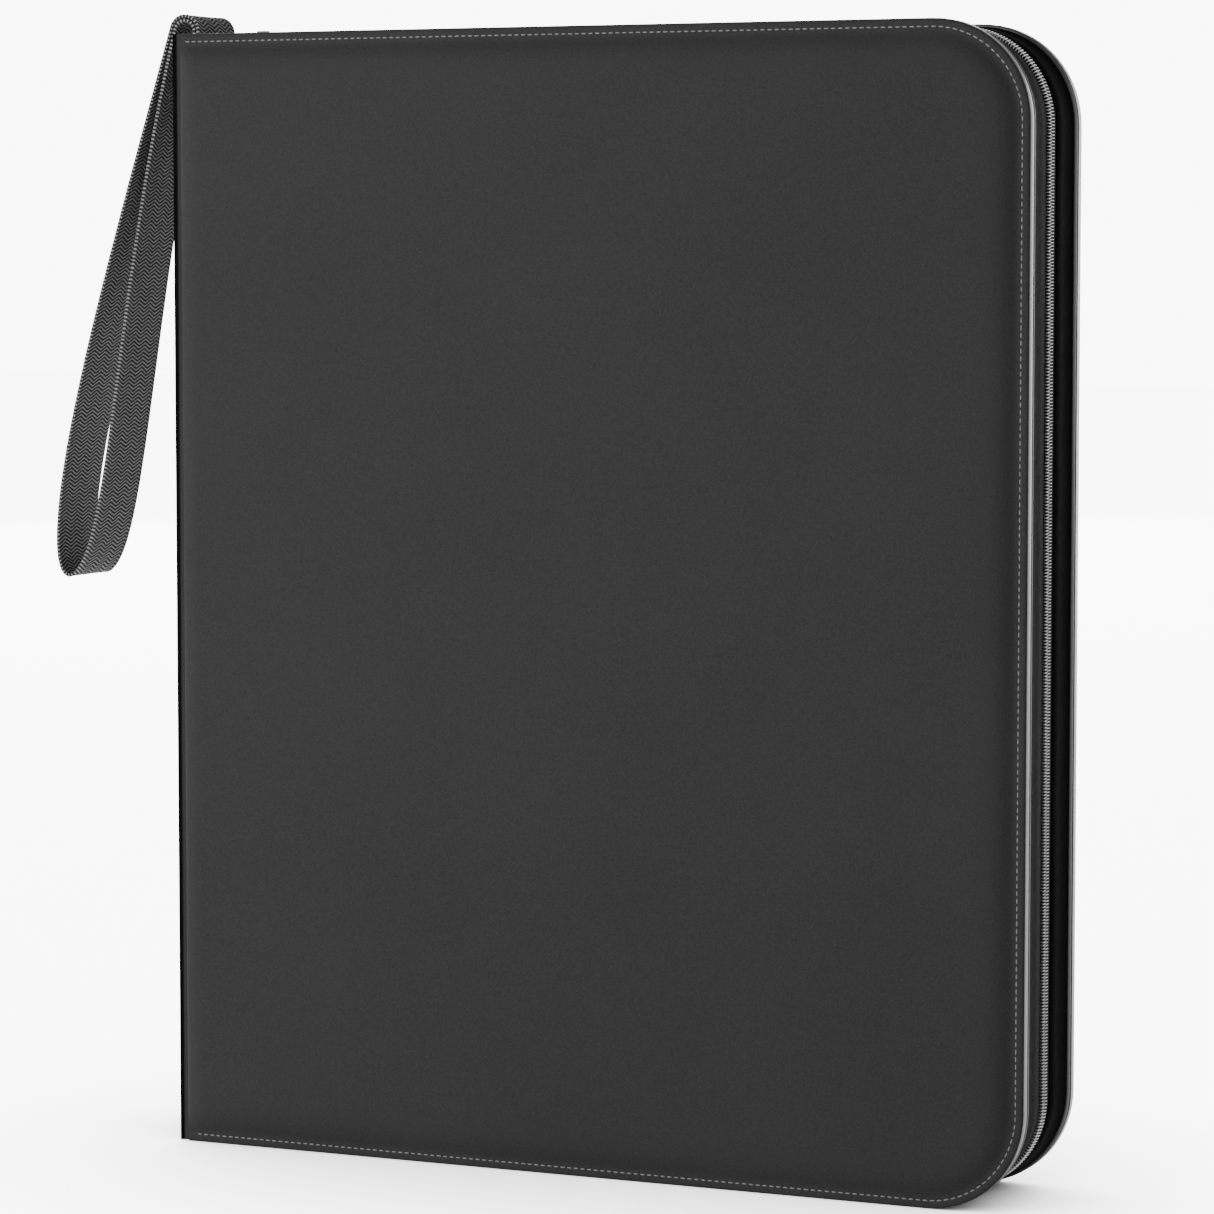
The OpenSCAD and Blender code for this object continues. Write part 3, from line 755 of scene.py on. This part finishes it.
def card_finish(name, low, high):
    """Green card stock with a gold rosette in a ring, repeated card by card."""
    pitch_x, pitch_z = 67.6 * MM, 94.17 * MM
    wide = high.x - low.x - 2 * pitch_x
    tall = high.z - low.z - 2 * pitch_z
    made, shader, place = finish(name, Roughness=0.4)
    x = (place.along("X") - low.x).sum("MODULO", place.along("X") - low.x, pitch_x) - wide / 2
    z = (place.along("Z") - low.z).sum("MODULO", place.along("Z") - low.z, pitch_z) - tall / 2
    far = (x * x + z * z).sum("SQRT", x * x + z * z)
    turn = z.sum("ARCTAN2", z, x)
    petal = (turn * 4).waves().sum("ABSOLUTE", (turn * 4).waves())
    ring = (far > 16.5 * MM) * (far < 18 * MM)
    flower = (far < (petal * (7.5 * MM) + 5 * MM)) * (far > 3.2 * MM)
    edge_x = x.sum("ABSOLUTE", x) > (wide / 2 - 3 * MM)
    edge_z = z.sum("ABSOLUTE", z) > (tall / 2 - 3 * MM)
    inner_x = x.sum("ABSOLUTE", x) > (wide / 2 - 2.4 * MM)
    inner_z = z.sum("ABSOLUTE", z) > (tall / 2 - 2.4 * MM)
    frame_line = edge_x.sum("MAXIMUM", edge_x, edge_z) - inner_x.sum("MAXIMUM", inner_x, inner_z)
    gold = ring.sum("MAXIMUM", ring.sum("MAXIMUM", ring, flower), frame_line)
    up = z.sum("ABSOLUTE", z) - tall * 0.36
    over = (x.sum("ABSOLUTE", x) / (5 * MM)).sum("PINGPONG", x / (5 * MM), 0.5) * (5 * MM)
    beads = ((over * over + up * up) < (1.3 * MM) * (1.3 * MM)) * (x.sum("ABSOLUTE", x) < 7 * MM)
    fade = (z / tall + 0.5) * 0.6 + place.noise(14, 3) * 0.4
    green = fade.between((0.006, 0.042, 0.020, 1), (0.018, 0.115, 0.052, 1))
    printed = gold.between(green, (0.62, 0.40, 0.12, 1))
    wire(shader, Base_Color=beads.between(printed, (0.55, 0.56, 0.54, 1)),
         Metallic=gold * 0.75, Roughness=gold.between(0.42, 0.28))
    raise_by(shader, place.noise(0.6, 2), 0.02)
    return made


for number in range(1, 7):
    name = f"sheet_{number}"
    low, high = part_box(f"cards_{number}")
    dress(frame["nodes"][f"cards_{number}"], card_finish(f"card_stock_{number}", low, high))
    leaf = eased(name, f"film_frame_{number}", ribs, 0.15, 1)
    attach(leaf, f"leaf_{number}")
    middle_y = (low.y + high.y) / 2
    film_y = (high.y - low.y) / 2 + 0.09 * MM
    for way in (-1, 1):
        pane = tidy_start(bpy.ops.mesh.primitive_grid_add, x_subdivisions=48, y_subdivisions=60,
                          size=1, rotation=(math.pi / 2, 0, 0))
        bpy.ops.object.mode_set(mode="OBJECT")
        margin = 1.6 * MM
        pane.scale = (high.x - low.x + 2 * margin, high.z - low.z + 2 * margin, 1)
        pane.location = ((low.x + high.x) / 2, middle_y + way * film_y, (low.z + high.z) / 2)
        bpy.ops.object.transform_apply(location=True, rotation=True, scale=True)
        for point in pane.data.vertices:
            ripple = math.sin(point.co.x * 130 + number) * math.sin(point.co.z * 90 + way)
            point.co.y += way * 0.04 * MM * ripple
        settle(pane, f"pocket_film_{number}_{'front' if way < 0 else 'rear'}", film, 60)
        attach(pane, f"leaf_{number}")


# ---------------------------------------------------------------------------------------------
# Floor, light and camera. A white sheet lies under a soft key light, with a strip of light by
# the fore-edge and a fill behind. Floor and sky look white, also in gloss, yet light the case
# only a little. Close round the case the floor's glow is dimmed: a painted contact shadow.

floor = tidy_start(bpy.ops.mesh.primitive_plane_add, size=14)
bpy.ops.mesh.subdivide(number_cuts=2)
paper, shader, place = finish("white_paper", Roughness=0.9, Emission_Strength=9.0)


def studio_white(tree, glow=0.2):
    """White to look at and in reflections, but only a gentle light on what stands in it."""
    rays = Shade(tree)
    return (rays.node("ShaderNodeLightPath") * 0.95
            + rays.node("ShaderNodeLightPath", out=3) * glow + 0.016)


# Painted contact shadow: the floor's glow is dimmed where the case stands close by.
painted_contact_shadow = place.node("ShaderNodeAmbientOcclusion", inputs={"Distance": 0.16}, out=1)
wire(shader, Base_Color=place.noise(900, 2).between((0.86, 0.86, 0.86, 1), (0.9, 0.9, 0.9, 1)),
     Emission_Color=(studio_white(paper.node_tree) * (painted_contact_shadow * painted_contact_shadow)).between(
         (0, 0, 0, 1), (1, 1, 1, 1)))
settle(floor, "floor", paper)

world = bpy.data.worlds.new("studio")
world.use_nodes = True
backdrop = world.node_tree.nodes["Background"]
backdrop.inputs["Color"].default_value = (1, 1, 1, 1)
toward = Shade(world.node_tree).node("ShaderNodeTexCoord").along("Z")
low_sky = toward.sum("MAXIMUM", 0.227 - toward * 0.367, 0.033)
wire(backdrop, Strength=studio_white(world.node_tree, low_sky) * 9.75)
bpy.context.scene.world = world


def lamp(name, place, target, size, power):
    light = bpy.data.lights.new(name, "AREA")
    light.shape = "RECTANGLE"
    light.size, light.size_y = size
    light.energy = power
    made = bpy.data.objects.new(name, light)
    made.location = place
    made.rotation_euler = (Vector(target) - Vector(place)).to_track_quat("-Z", "Y").to_euler()
    made.visible_camera = False
    bpy.context.collection.objects.link(made)


middle = Vector((0.12, 0, 0.17))
lamp("key", (-2.6, -2.9, 0.6), middle, (2.0, 1.0), 165)
lamp("edge_light", (0.9, 1.9, 0.2), middle, (0.6, 1.4), 9)
lamp("rear_fill", (-1.4, 2.6, 0.8), middle, (2.0, 1.0), 60)

view = bpy.data.cameras.new("camera")
view.sensor_width = 36
view.lens = 134.2
camera = bpy.data.objects.new("camera", view)
camera.location = (0.66693, -1.19502, 0.26819)
gaze = Vector((-0.40787, 0.90954, -0.07984))
camera.rotation_euler = gaze.to_track_quat("-Z", "Y").to_euler()
bpy.context.collection.objects.link(camera)
bpy.context.scene.camera = camera
